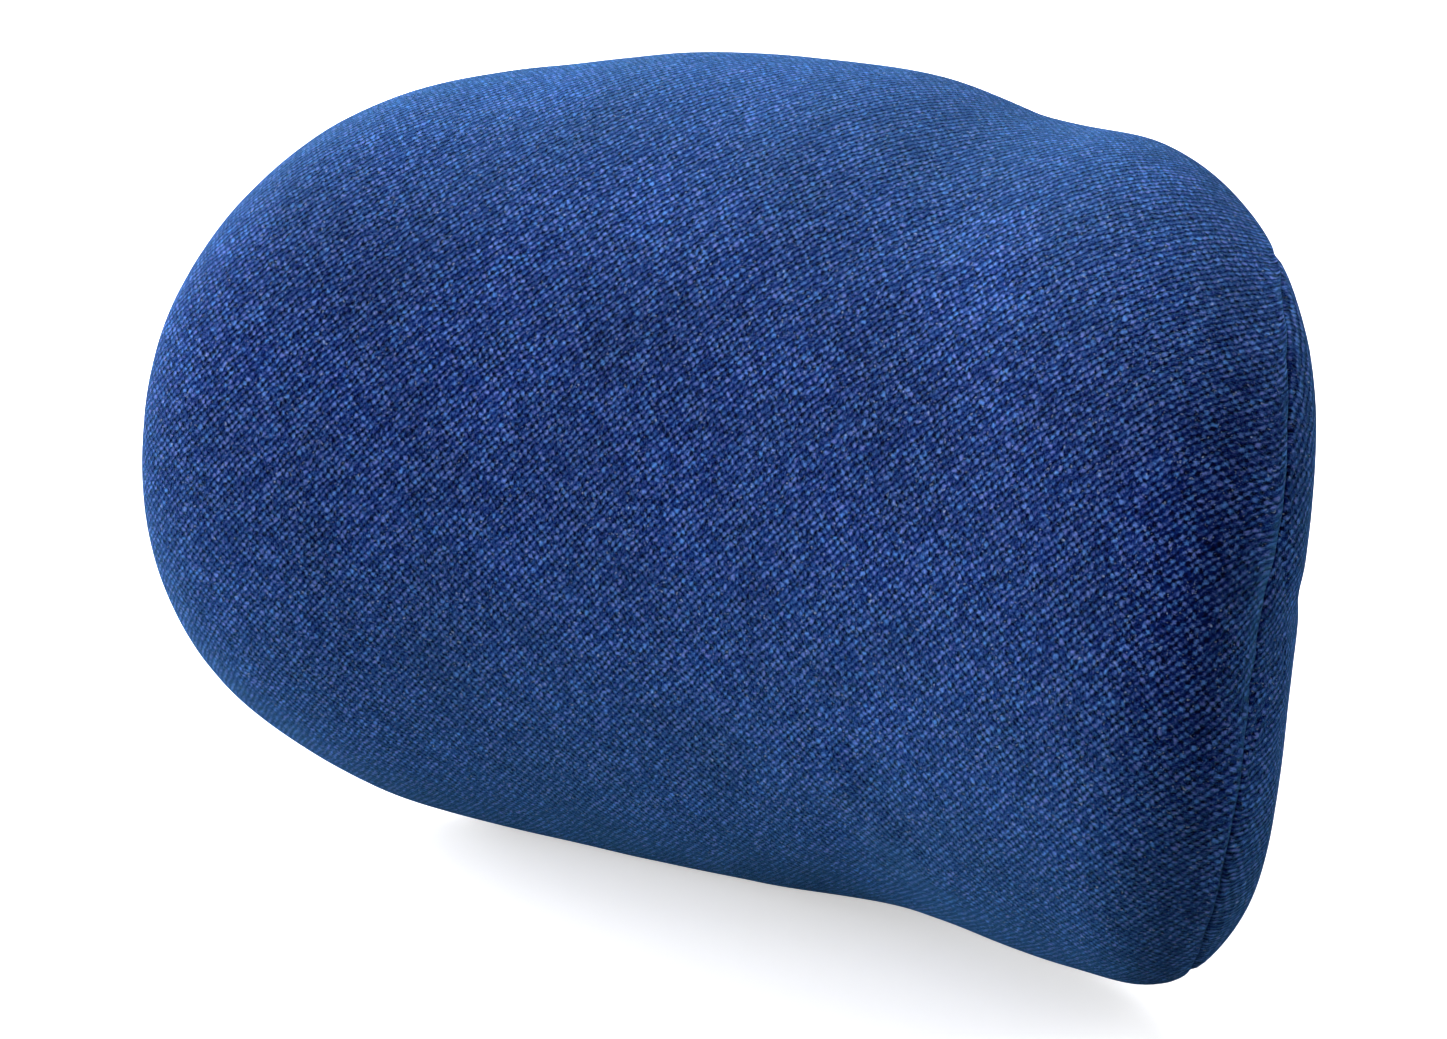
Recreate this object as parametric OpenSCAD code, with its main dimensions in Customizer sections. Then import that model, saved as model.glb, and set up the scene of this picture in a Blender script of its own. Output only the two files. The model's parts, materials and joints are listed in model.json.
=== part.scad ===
// Chair headrest attachment: an upholstered cushion on a friction tilt hinge, carried by a flat
// mast that slides in a clamped guide, which bolts to the chair's back post.
// Origin: centre of the four chair bolts on the rear face of the mounting plate.
// +X to the right of a viewer in front, +Y backwards into the chair post, +Z up. Millimetres.

/* [Cushion] */
// Half of the cushion's width
pad_half_width = 150; // [140:1:155]
// Half of the cushion's height at its middle
pad_half_height = 98; // [95:1:101]
// Depth of the crowned front ahead of the cushion's rim
front_depth = 61; // [55:1:66]
// Depth of the back behind the cushion's rim
back_depth = 44; // [43:1:46]
// How far the two ends come forward of the middle
wing_forward = 45; // [35:1:50]
// How far the middle of the ends lies below the middle of the cushion
end_drop = 6.5; // [0:0.5:10]
// How far the top and bottom edges lie behind the rim's middle
edge_set_back = 8.5; // [0:0.5:12]
// Backward lean of the cushion at rest, in degrees
lean = 10; // [5:1:12]
// Thickness of the cover fabric
cover_t = 1.2; // [0.8:0.1:1.5]

/* [Side seams] */
// Direction of the side seam's plane, seen from above, in degrees
seam_turn = 32; // [28:1:36]
// Distance of the side seam's plane from the cushion's centre
seam_offset = 96.5; // [94:0.5:99]

/* [Tilt hinge] */
// Place of the hinge axis behind the mounting face
hinge_back = 42; // [42:0.5:43]
// Height of the hinge axis above the chair bolts' centre
hinge_up = 62; // [61:0.5:63]
// Distance of the hinge axis behind the cushion's centre
neck_reach = 58; // [57.5:0.5:60]
// Height of the hinge axis above the cushion's centre
neck_rise = 20; // [18:0.5:22]
// Radius of the hinge bolt
bolt_r = 4; // [4:0.05:4]
// Half of the distance between the yoke's ears
ear_gap_half = 12; // [12:0.5:13]
// Thickness of one ear of the yoke
ear_t = 5; // [4:0.5:5]

/* [Mast and guide] */
// Width of the mast bar
mast_w = 25; // [24:0.5:25]
// Thickness of the mast bar
mast_t = 8; // [7:0.5:8]
// Height adjustment of the mast
mast_travel = 50; // [30:1:50]
// Width of the guide housing
guide_w = 48; // [48:1:50]
// Lowest point of the guide below the chair bolts' centre
guide_down = 46; // [44:1:48]
// Top of the guide above the chair bolts' centre
guide_up = 36; // [34:0.5:36]

/* [Chair mount] */
// Width of the mounting plate
plate_w = 80; // [78:1:84]
// Thickness of the mounting plate
plate_t = 4; // [4:0.5:4]
// Distance between the chair bolts, across and up
chair_bolt_pitch = 64; // [64:1:66]
// Radius of the chair bolt holes
chair_bolt_hole_r = 3.3; // [3.2:0.1:3.5]

/* [Hidden] */
$fn = 48;
eps = 0.02;
slip = 0.1;

// Cushion form: powers of its outline and of its sections
top_outline = [3.1, 2.8];
bottom_outline = [3.6, 2.9];
front_outline = [3.2, 2.4];
back_outline = [2.6, 1.75];
wing_power = 2.5;
front_power = 2.1;
back_power = 1.95;
waist_depth = 0.03;
waist_at = 0.48;
waist_spread = 0.2;

// Grid that the cushion's pieces share: rows along its width, columns around it
sleeve_rows = 12;
side_rows = 4;
columns = 36;
foam_gap = 0.3;
top_seam_column = 6;
bottom_seam_column = 12;
zip_rows = 6;
slider_x = 0.25;
slider_turn = [-17, 0, -6.5];

// Opening in the cushion's back and the bezel around it
neck_w = 22;
neck_h = 16;
bezel_sleeve = [29, 25];
bezel_flange = [42, 38];
bezel_hole = [26, 21];
bezel_flange_t = 2.5;
bezel_tilt = 3.5;
back_face = back_depth - 0.5;

// Board and knuckle inside the cushion
board_w = 144;
board_h = 104;
board_z = 8;
board_front = 14;
board_t = 8;
knuckle_w = 64;
knuckle_h = 54;
knuckle_t = 3;
knuckle_screw_x = 24;
knuckle_screw_z = 18;
m5_r = 2.5;
m5_hole_r = 2.75;
m5_head_r = 4.75;
barrel_r = 9;
bush_r = 5.5;

// Hinge stack, measured along the hinge axis from the middle
ear_out = ear_gap_half + ear_t;
washer_t = 1.6;
washer_r = 8;
spring_stack = 3.6;
spring_t = 0.9;
nut_t = 6.5;
bolt_end = 31;
cap_r = 11;
cap_wall = 1.8;

// Mast and guide depths, measured back from the cushion towards the mounting face
mast_back = -16;
mast_front = mast_back - mast_t;
guide_front = -36;
housing_front = -32;
channel_w = 29;
liner_t = 1.85;
mast_bottom = -guide_down + 2;
mast_top = hinge_up + 13;
mast_slot_r = 3.1;
stop_pin_r = 2.9;
stop_pin_z = 26;
yoke_bottom = guide_up + 0.5;
yoke_top = hinge_up + 14;
yoke_front = -31;
yoke_screw_z = [hinge_up - 15, hinge_up + 1];
guide_screw_x = 19.2;
guide_screw_z = [-34, 26];
plate_up = 42;

// Clamp knob
knob_z = -8;
knob_y = (mast_back + mast_front) / 2;
stud_r = 4;
insert_r = 6;
knob_lobes = 7;
knob_core_r = 11;
knob_lobe_r = 3.5;
knob_cap_r = 8.5;
knob_from = -30;
knob_to = -46;

// ---------- cushion form ----------

function section(x, powers) = pow(1 - pow(min(abs(x), 1), powers[0]), 1 / powers[1]);
function signed_power(v, e) = sign(v) * pow(abs(v), e);
function waist(x) = 1 - waist_depth * exp(-pow((abs(x) - waist_at) / waist_spread, 2));

// A point of the cushion: x runs from -1 to 1 along the width; turn is 0 at the top edge,
// 90 at the back, 180 at the bottom edge and 270 at the front; inset shrinks the form.
function pad_point(x, turn, inset = 0) =
  let (
    up = cos(turn),
    back = sin(turn),
    front = back < 0,
    power = 2 / (front ? front_power : back_power),
    height = pad_half_height - inset,
    rise = height * (up >= 0 ? section(x, top_outline) * waist(x) : section(x, bottom_outline)),
    depth = front
      ? (front_depth - inset) * section(x, front_outline)
      : (back_depth - inset) * section(x, back_outline),
    z = signed_power(up, power),
    y = signed_power(back, power)
  )
  [
    (pad_half_width - inset) * x,
    depth * y + edge_set_back * z * z - wing_forward * pow(abs(x), wing_power),
    rise * z - end_drop * x * x
  ];

// Where the side seam's plane cuts the cushion, as x, found by halving the interval
function seam_x(turn, low = 0.4, high = 1, steps = 16) =
  let (middle = (low + high) / 2, p = pad_point(middle, turn))
  steps == 0
    ? middle
    : p[0] * cos(seam_turn) + p[1] * sin(seam_turn) < seam_offset
      ? seam_x(turn, middle, high, steps - 1)
      : seam_x(turn, low, middle, steps - 1);

turns = [for (column = [0:columns - 1]) column * 360 / columns];
seams = [for (turn = turns) seam_x(turn)];

// x of a grid row: up to sleeve_rows it lies on the front and back panels, beyond on a side panel
function row_x(row, column) =
  let (seam = seams[column], away = abs(row))
  sign(row) * (away <= sleeve_rows
    ? seam * sin(90 * away / sleeve_rows)
    : seam + (1 - seam) * sin(90 * (away - sleeve_rows) / side_rows));

function grid_point(row, column, inset) = pad_point(row_x(row, column), turns[column], inset);
function grid_points(first, last, inset) =
  [for (row = [first:last], column = [0:columns - 1]) grid_point(row, column, inset)];

// Faces of one grid cell, and of the wall that closes a sheet along one edge of it
function cell_corners(row, column) =
  let (next = (column + 1) % columns)
  [
    row * columns + column,
    row * columns + next,
    (row + 1) * columns + next,
    (row + 1) * columns + column
  ];
// The diagonal is mirrored on the left half, so that the cushion's two halves match.
function outer_cell(c, left) =
  left ? [[c[0], c[1], c[3]], [c[1], c[2], c[3]]] : [[c[0], c[1], c[2]], [c[0], c[2], c[3]]];
function inner_cell(c, left, n) = [for (t = outer_cell(c, left)) [n + t[2], n + t[1], n + t[0]]];
function edge_wall(a, b, n) = [[b, a, n + a], [b, n + a, n + b]];

// Faces of a thick sheet on the grid: kept(row, column) says which cells it covers
function sheet_faces(rows, kept, n) =
  [
    for (row = [0:rows - 1], column = [0:columns - 1])
      if (kept(row, column))
        let (
          c = cell_corners(row, column),
          left = row < rows / 2,
          before = (column + columns - 1) % columns,
          after = (column + 1) % columns
        )
        each concat(
          outer_cell(c, left),
          inner_cell(c, left, n),
          row > 0 && kept(row - 1, column) ? [] : edge_wall(c[0], c[1], n),
          kept(row, after) ? [] : edge_wall(c[1], c[2], n),
          row < rows - 1 && kept(row + 1, column) ? [] : edge_wall(c[2], c[3], n),
          kept(row, before) ? [] : edge_wall(c[3], c[0], n)
        )
  ];

module sleeve_sheet(kept) {
  outer = grid_points(-sleeve_rows, sleeve_rows, 0);
  inner = grid_points(-sleeve_rows, sleeve_rows, cover_t);
  polyhedron(concat(outer, inner), sheet_faces(2 * sleeve_rows, kept, len(outer)));
}

// Triangles between a ring of the grid and the point at the cushion's end
function fan(ring, tip, reverse) =
  [
    for (column = [0:columns - 1])
      let (a = ring + column, b = ring + (column + 1) % columns)
      reverse ? [b, a, tip] : [a, b, tip]
  ];

module side_sheet() {
  last = sleeve_rows + side_rows - 1;
  outer = concat(grid_points(sleeve_rows, last, 0), [pad_point(1, 0, 0)]);
  inner = concat(grid_points(sleeve_rows, last, cover_t), [pad_point(1, 0, cover_t)]);
  n = len(outer);
  ring = (side_rows - 1) * columns;
  polyhedron(
    concat(outer, inner),
    concat(side_rings(n), fan(ring, n - 1, false), fan(n + ring, 2 * n - 1, true))
  );
}

// Rings of the side panel: its cells, and the wall along its seam
function side_rings(n) =
  [
    for (row = [0:side_rows - 2], column = [0:columns - 1])
      let (c = cell_corners(row, column), seam_wall = edge_wall(c[0], c[1], n))
      each concat(outer_cell(c, false), inner_cell(c, false, n), row > 0 ? [] : seam_wall)
  ];

module in_pad() {
  translate([0, -hinge_back, hinge_up])
    rotate([-lean, 0, 0])
      translate([0, -neck_reach, -neck_rise])
        children();
}

// ---------- small helpers ----------

module rounded_rect(w, h, r) {
  square([w - 2 * r, h], center = true);
  square([w, h - 2 * r], center = true);
  for (x = [-1, 1], y = [-1, 1])
    translate([x * (w / 2 - r), y * (h / 2 - r)]) circle(r);
}

// A plate that stands upright: its outline lies in X and Z and it runs forward from y
module upright(y, t) {
  translate([0, y, 0]) rotate([90, 0, 0]) linear_extrude(t) children();
}

// A round bar along Y from back to front, with an optional second radius at the front end
module bar_y(r, back, front, r_front = undef) {
  translate([0, back, 0])
    rotate([90, 0, 0])
      cylinder(r1 = r, r2 = is_undef(r_front) ? r : r_front, h = back - front);
}

// A round bar along X
module bar_x(r, from, to) {
  translate([from, 0, 0]) rotate([0, 90, 0]) cylinder(r = r, h = to - from);
}

// A ring along X
module ring_x(r_out, r_in, from, to) {
  difference() {
    bar_x(r_out, from, to);
    bar_x(r_in, from - 1, to + 1);
  }
}

module at_guide_screws() {
  for (x = [-1, 1], z = guide_screw_z)
    translate([x * guide_screw_x, 0, z]) children();
}

module at_knuckle_screws() {
  for (x = [-1, 1], z = [-1, 1])
    translate([x * knuckle_screw_x, 0, neck_rise + z * knuckle_screw_z]) children();
}

module at_hinge() {
  translate([0, -hinge_back, hinge_up]) children();
}

// ---------- chair bracket ----------

module mounting_plate() {
  height = guide_down + plate_up;
  color("dimgray")
    difference() {
      translate([0, 0, (plate_up - guide_down) / 2])
        upright(0, plate_t)
          rounded_rect(plate_w, height, 8);
      for (x = [-1, 1], z = [-1, 1])
        translate([x * chair_bolt_pitch / 2, 0, z * chair_bolt_pitch / 2])
          bar_y(chair_bolt_hole_r, 1, -plate_t - 1);
      at_guide_screws() {
        bar_y(m5_hole_r, 1, -plate_t - 1);
        bar_y(5.05, eps, -2.3, m5_hole_r);
      }
    }
}

module guide_screws() {
  color("silver")
    at_guide_screws()
      difference() {
        union() {
          bar_y(m5_r, -1, -18);
          bar_y(4.9, 0, -2.4, m5_r);
        }
        translate([0, 1, 0])
          rotate([90, 0, 0])
            cylinder(r = 1.7, h = 2.6, $fn = 6);
      }
}

module guide_housing() {
  depth = -plate_t - housing_front;
  color("black")
    difference() {
      translate([0, 0, -guide_down])
        linear_extrude(guide_down + guide_up)
          difference() {
            translate([0, housing_front + depth / 2]) rounded_rect(guide_w, depth, 2);
            translate([-channel_w / 2, housing_front - 1])
              square([channel_w, mast_back + slip - housing_front + 1]);
          }
      at_guide_screws() {
        bar_y(m5_r + 0.05, -plate_t + 1, -18.5);
        bar_y(2, -23.5, housing_front - 1);
      }
      translate([0, knob_y, knob_z]) bar_x(insert_r + 0.05, -guide_w / 2 - 1, -channel_w / 2 + 1);
    }
}

module guide_cover() {
  color("black")
    difference() {
      union() {
        translate([0, 0, (guide_up - guide_down) / 2])
          upright(housing_front, housing_front - guide_front)
            rounded_rect(guide_w, guide_up + guide_down, 4);
        translate([-channel_w / 2 + slip, housing_front - 1, -guide_down])
          cube([channel_w - 2 * slip, mast_front - slip - housing_front + 1, guide_down + guide_up]);
      }
      at_guide_screws() {
        bar_y(2.2, housing_front + 1, guide_front - 1);
        bar_y(2.2, guide_front + 2, guide_front - eps, 4.1);
      }
      translate([0, 0, stop_pin_z]) bar_y(stop_pin_r + 0.03, mast_front + 1, guide_front - 1);
    }
}

module cover_screws() {
  color("silver")
    at_guide_screws()
      difference() {
        union() {
          bar_y(1.9, -24, guide_front + 1);
          bar_y(1.9, guide_front + 2.1, guide_front, 4);
        }
        translate([0, guide_front + 1.2, 0])
          rotate([90, 0, 0])
            cylinder(r = 1.4, h = 3, $fn = 6);
      }
}

module liner(side) {
  from = side > 0 ? mast_w / 2 + slip : -mast_w / 2 - slip - liner_t;
  translate([from, mast_front + eps, -guide_down + 1])
    cube([liner_t, mast_t, guide_down + guide_up - 2]);
}

module glide_liner() {
  color("ivory") liner(1);
}

module brake_liner() {
  color("firebrick") liner(-1);
}

module stop_pin() {
  color("silver")
    translate([0, 0, stop_pin_z]) {
      bar_y(stop_pin_r, mast_back - 1, guide_front - 0.5);
      bar_y(5, guide_front - eps, guide_front - 1.6);
    }
}

module clamp_insert() {
  color("goldenrod")
    translate([0, knob_y, knob_z]) {
      ring_x(insert_r, stud_r + 0.05, -guide_w / 2 - 0.5, -channel_w / 2 - 0.5);
      ring_x(insert_r + 1.5, stud_r + 0.05, -guide_w / 2 - 1.2, -guide_w / 2 - eps);
    }
}

// ---------- clamp knob ----------

module knob_stud() {
  color("silver")
    translate([0, knob_y, knob_z]) bar_x(stud_r, knob_to + 6, -channel_w / 2 - 0.2);
}

module knob_grip() {
  color("black")
    translate([0, knob_y, knob_z])
      difference() {
        union() {
          bar_x(knob_core_r, knob_to, knob_from);
          for (lobe = [0:knob_lobes - 1])
            rotate([lobe * 360 / knob_lobes, 0, 0])
              translate([0, 0, knob_core_r])
                bar_x(knob_lobe_r, knob_to + 1.5, knob_from - 1.5);
          bar_x(stud_r + 4, knob_from - 1, -guide_w / 2 - 1.7);
        }
        bar_x(stud_r + eps, knob_to + 6, -guide_w / 2 + 1);
        bar_x(knob_cap_r + 0.1, knob_to - 1, knob_to + 1.2);
      }
}

module knob_cap() {
  color("dimgray")
    translate([0, knob_y, knob_z]) bar_x(knob_cap_r, knob_to - 0.6, knob_to + 1.1);
}

// ---------- mast ----------

module mast_bar() {
  slot_top = stop_pin_z;
  slot_bottom = stop_pin_z - mast_travel;
  color("gainsboro")
    difference() {
      translate([0, 0, (mast_top + mast_bottom) / 2])
        upright(mast_back, mast_t)
          rounded_rect(mast_w, mast_top - mast_bottom, 2);
      translate([0, 0, (slot_top + slot_bottom) / 2])
        upright(mast_back + 1, mast_t + 2) {
          square([2 * mast_slot_r, slot_top - slot_bottom], center = true);
          for (z = [-1, 1])
            translate([0, z * (slot_top - slot_bottom) / 2]) circle(mast_slot_r);
        }
      for (z = yoke_screw_z)
        translate([0, 0, z]) {
          bar_y(m5_hole_r, mast_back + 1, mast_front - 1);
          bar_y(5.05, mast_back + eps, mast_back - 2.3, m5_hole_r);
        }
      translate([0, (mast_back + mast_front) / 2, mast_bottom - 1])
        cylinder(r = 2.05, h = 8);
    }
}

module mast_end_cap() {
  color("black")
    translate([0, (mast_back + mast_front) / 2, 0]) {
      translate([0, 0, mast_bottom - 1.7])
        linear_extrude(1.7 - eps)
          rounded_rect(mast_w - 0.4, mast_t - 0.4, 1.5);
      translate([0, 0, mast_bottom - 1]) cylinder(r = 2, h = 7);
    }
}

module hinge_yoke() {
  color("silver")
    difference() {
      union() {
        translate([0, 0, (yoke_bottom + yoke_top) / 2])
          upright(mast_front, mast_front - yoke_front)
            rounded_rect(2 * ear_out, yoke_top - yoke_bottom, 3);
        for (side = [-1, 1])
          translate([side * (ear_gap_half + ear_t / 2), 0, 0])
            at_hinge() {
              bar_x(10, -ear_t / 2, ear_t / 2);
              translate([-ear_t / 2, 0, -10])
                cube([ear_t, hinge_back + mast_front, 20]);
            }
      }
      at_hinge() bar_x(bolt_r + 0.05, -ear_out - 1, ear_out + 1);
      for (z = yoke_screw_z)
        translate([0, 0, z]) bar_y(m5_r + 0.05, mast_front + 1, yoke_front + 1.5);
    }
}

module yoke_screws() {
  color("silver")
    for (z = yoke_screw_z)
      translate([0, 0, z])
        difference() {
          union() {
            bar_y(m5_r, mast_back - 1, yoke_front + 2);
            bar_y(4.9, mast_back, mast_back - 2.4, m5_r);
          }
          translate([0, mast_back + 1, 0])
            rotate([90, 0, 0])
              cylinder(r = 1.7, h = 2.6, $fn = 6);
        }
}

module yoke_cover() {
  back = -11.5;
  front = -30;
  wall = 1.8;
  inner_w = 2 * ear_out + 0.6;
  outer_w = inner_w + 2 * wall;
  top = yoke_top + 0.3;
  color("black")
    difference() {
      translate([0, (back + front) / 2, yoke_bottom + 0.3])
        linear_extrude(top + wall - yoke_bottom - 0.3)
          rounded_rect(outer_w, back - front, 3.5);
      translate([-inner_w / 2, front - 1, yoke_bottom - 1])
        cube([inner_w, back - wall - front + 1, top - yoke_bottom + 1]);
    }
}

module hinge_bolt() {
  head_from = -ear_out - washer_t;
  color("silver")
    at_hinge()
      difference() {
        union() {
          bar_x(bolt_r, head_from - 1, bolt_end);
          bar_x(6.5, head_from - 4.5, head_from - eps);
        }
        translate([head_from - 6, 0, 0])
          rotate([0, 90, 0])
            cylinder(r = 2.9, h = 4, $fn = 6);
      }
}

module bolt_washers() {
  color("silver")
    at_hinge()
      for (side = [0, 1])
        mirror([side, 0, 0])
          ring_x(washer_r, bolt_r + 0.2, ear_out + eps, ear_out + washer_t - eps);
}

module disc_springs() {
  start = ear_out + washer_t;
  inner = bolt_r + 0.2;
  color("dimgray")
    at_hinge()
      translate([start, 0, 0])
        rotate([0, 90, 0]) {
          rotate_extrude()
            polygon([
              [inner, spring_stack / 2 - spring_t], [inner, spring_stack / 2 - eps],
              [washer_r - 0.5, spring_t], [washer_r - 0.5, eps]
            ]);
          rotate_extrude()
            polygon([
              [inner, spring_stack / 2 + spring_t], [inner, spring_stack / 2 + eps],
              [washer_r - 0.5, spring_stack - spring_t], [washer_r - 0.5, spring_stack - eps]
            ]);
        }
}

module hinge_nut() {
  start = ear_out + washer_t + spring_stack;
  color("silver")
    at_hinge()
      difference() {
        union() {
          translate([start, 0, 0])
            rotate([0, 90, 0])
              cylinder(r = 7.5, h = nut_t, $fn = 6);
          bar_x(5.9, start + nut_t - eps, start + nut_t + 1.6);
        }
        bar_x(bolt_r + 0.05, start - 1, start + nut_t + 3);
      }
}

// A push-on cap over one end of the hinge bolt, with a rounded rim
module hinge_cap(reach) {
  from = ear_out + slip;
  bend = 3;
  at_hinge()
    translate([from, 0, 0])
      rotate([0, 90, 0])
        rotate_extrude() {
          difference() {
            union() {
              square([cap_r, reach - bend]);
              square([cap_r - bend, reach]);
              translate([cap_r - bend, reach - bend]) circle(bend);
            }
            translate([-1, -1]) square([cap_r - cap_wall + 1, reach - cap_wall + 1]);
            translate([-cap_r, -1]) square([cap_r, reach + 2]);
          }
        }
}

module hinge_cap_left() {
  color("black") mirror([1, 0, 0]) hinge_cap(10);
}

module hinge_cap_right() {
  color("black") hinge_cap(16.5);
}

// ---------- cushion ----------

module hinge_knuckle() {
  plate_y = board_front + board_t + knuckle_t;
  color("dimgray")
    in_pad()
      difference() {
        union() {
          translate([0, 0, neck_rise])
            upright(plate_y, knuckle_t - eps)
              rounded_rect(knuckle_w, knuckle_h, 8);
          translate([-neck_w / 2, plate_y - 1, neck_rise - neck_h / 2])
            cube([neck_w, neck_reach - plate_y + 1, neck_h]);
          translate([0, neck_reach, neck_rise]) bar_x(barrel_r, -neck_w / 2, neck_w / 2);
        }
        translate([0, neck_reach, neck_rise]) bar_x(bush_r + eps, -neck_w, neck_w);
        at_knuckle_screws() bar_y(m5_hole_r, plate_y + 1, plate_y - knuckle_t - 1);
      }
}

module knuckle_bush() {
  color("ivory")
    at_hinge() ring_x(bush_r, bolt_r + 0.05, -neck_w / 2, neck_w / 2);
}

module friction_washers() {
  color("ivory")
    at_hinge()
      for (side = [0, 1])
        mirror([side, 0, 0])
          ring_x(barrel_r, bolt_r + 0.1, neck_w / 2 + eps, ear_gap_half - slip);
}

module knuckle_screws() {
  plate_y = board_front + board_t + knuckle_t;
  color("silver")
    in_pad()
      at_knuckle_screws()
        difference() {
          union() {
            bar_y(m5_r, plate_y + 1, board_front - 0.5);
            bar_y(m5_head_r, plate_y + 3, plate_y + eps);
          }
          translate([0, plate_y + 4, 0])
            rotate([90, 0, 0])
              cylinder(r = 1.7, h = 2.8, $fn = 6);
        }
}

module tee_nuts() {
  color("goldenrod")
    in_pad()
      at_knuckle_screws()
        difference() {
          union() {
            bar_y(3.3, board_front + 7, board_front - 0.5);
            bar_y(8, board_front - eps, board_front - 1.2);
          }
          bar_y(m5_r + 0.05, board_front + 8, board_front - 2);
        }
}

module pad_board() {
  color("burlywood")
    in_pad()
      difference() {
        translate([0, 0, board_z])
          upright(board_front + board_t, board_t)
            rounded_rect(board_w, board_h, 22);
        at_knuckle_screws() bar_y(3.35, board_front + board_t + 1, board_front - 1);
      }
}

module foam_core() {
  last = sleeve_rows + side_rows - 1;
  inset = cover_t + foam_gap;
  rings = grid_points(-last, last, inset);
  n = len(rings);
  ring_count = 2 * last;
  sides = [
    for (row = [0:ring_count - 1], column = [0:columns - 1])
      each outer_cell(cell_corners(row, column), row < last)
  ];
  plate_y = board_front + board_t + knuckle_t;
  color("khaki")
    in_pad()
      difference() {
        polyhedron(
          concat(rings, [pad_point(-1, 0, inset), pad_point(1, 0, inset)]),
          concat(sides, fan(0, n, true), fan(ring_count * columns, n + 1, false))
        );
        translate([-board_w / 2 - slip, board_front - 1.4, board_z - board_h / 2 - slip])
          cube([board_w + 2 * slip, board_t + 1.4 + slip, board_h + 2 * slip]);
        translate([-knuckle_w / 2 - slip, board_front, neck_rise - knuckle_h / 2 - slip])
          cube([knuckle_w + 2 * slip, plate_y + 3.4 - board_front, knuckle_h + 2 * slip]);
        translate([-bezel_sleeve[0] / 2 - 0.5, board_front, neck_rise - bezel_sleeve[1] / 2 - 1.2])
          cube([bezel_sleeve[0] + 1, back_depth, bezel_sleeve[1] + 2.4]);
      }
}

function on_back(column) = column >= top_seam_column && column < bottom_seam_column;
function on_zip(row, column) =
  column == bottom_seam_column && abs(row + 0.5 - sleeve_rows) < zip_rows;

module front_cover() {
  color("royalblue")
    in_pad()
      sleeve_sheet(function(row, column) !on_back(column) && !on_zip(row, column));
}

module back_cover() {
  color("royalblue")
    in_pad()
      difference() {
        sleeve_sheet(function(row, column) on_back(column));
        translate([-bezel_sleeve[0] / 2 - 0.3, board_front, neck_rise - bezel_sleeve[1] / 2 - 1])
          cube([bezel_sleeve[0] + 0.6, back_depth, bezel_sleeve[1] + 2]);
      }
}

module side_cover_right() {
  color("royalblue") in_pad() side_sheet();
}

module side_cover_left() {
  color("royalblue") in_pad() mirror([1, 0, 0]) side_sheet();
}

module cover_zip() {
  color("navy") in_pad() sleeve_sheet(function(row, column) on_zip(row, column));
}

module zip_slider() {
  turn = turns[bottom_seam_column] + 180 / columns;
  color("dimgray")
    in_pad()
      translate(pad_point(slider_x, turn))
        rotate(slider_turn) {
          upright(2.7, 2.4) rounded_rect(9, 7, 2);
          translate([-9, 0, 0]) upright(3.7, 1.4) rounded_rect(16, 4.4, 2);
        }
}

module opening_bezel() {
  color("black")
    in_pad()
      translate([0, back_face, neck_rise])
        rotate([bezel_tilt, 0, 0])
          difference() {
            union() {
              upright(0.4 + bezel_flange_t, bezel_flange_t)
                rounded_rect(bezel_flange[0], bezel_flange[1], 8);
              upright(1, 14) rounded_rect(bezel_sleeve[0], bezel_sleeve[1], 4);
            }
            upright(4, 20) rounded_rect(bezel_hole[0], bezel_hole[1], 3);
          }
}

mounting_plate();
guide_screws();
guide_housing();
guide_cover();
cover_screws();
glide_liner();
brake_liner();
stop_pin();
clamp_insert();
knob_stud();
knob_grip();
knob_cap();
mast_bar();
mast_end_cap();
hinge_yoke();
yoke_screws();
yoke_cover();
hinge_bolt();
bolt_washers();
disc_springs();
hinge_nut();
hinge_cap_left();
hinge_cap_right();
hinge_knuckle();
knuckle_bush();
friction_washers();
knuckle_screws();
tee_nuts();
pad_board();
foam_core();
front_cover();
back_cover();
side_cover_left();
side_cover_right();
cover_zip();
zip_slider();
opening_bezel();
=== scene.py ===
"""Looks of a chair headrest attachment: a sewn, foam-filled cushion on its tilt hinge, mast and guide.

The cushion's cover, foam and zip are built here, and the cover is pressed out once as simulated cloth.
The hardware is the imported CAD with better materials. Everything is in metres and in the row frame: +X to
the viewer's right in front, +Y backwards, +Z up.
"""
import json
import math

import bmesh
import bpy
import numpy as np
from mathutils import Matrix, Vector, noise


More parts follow.
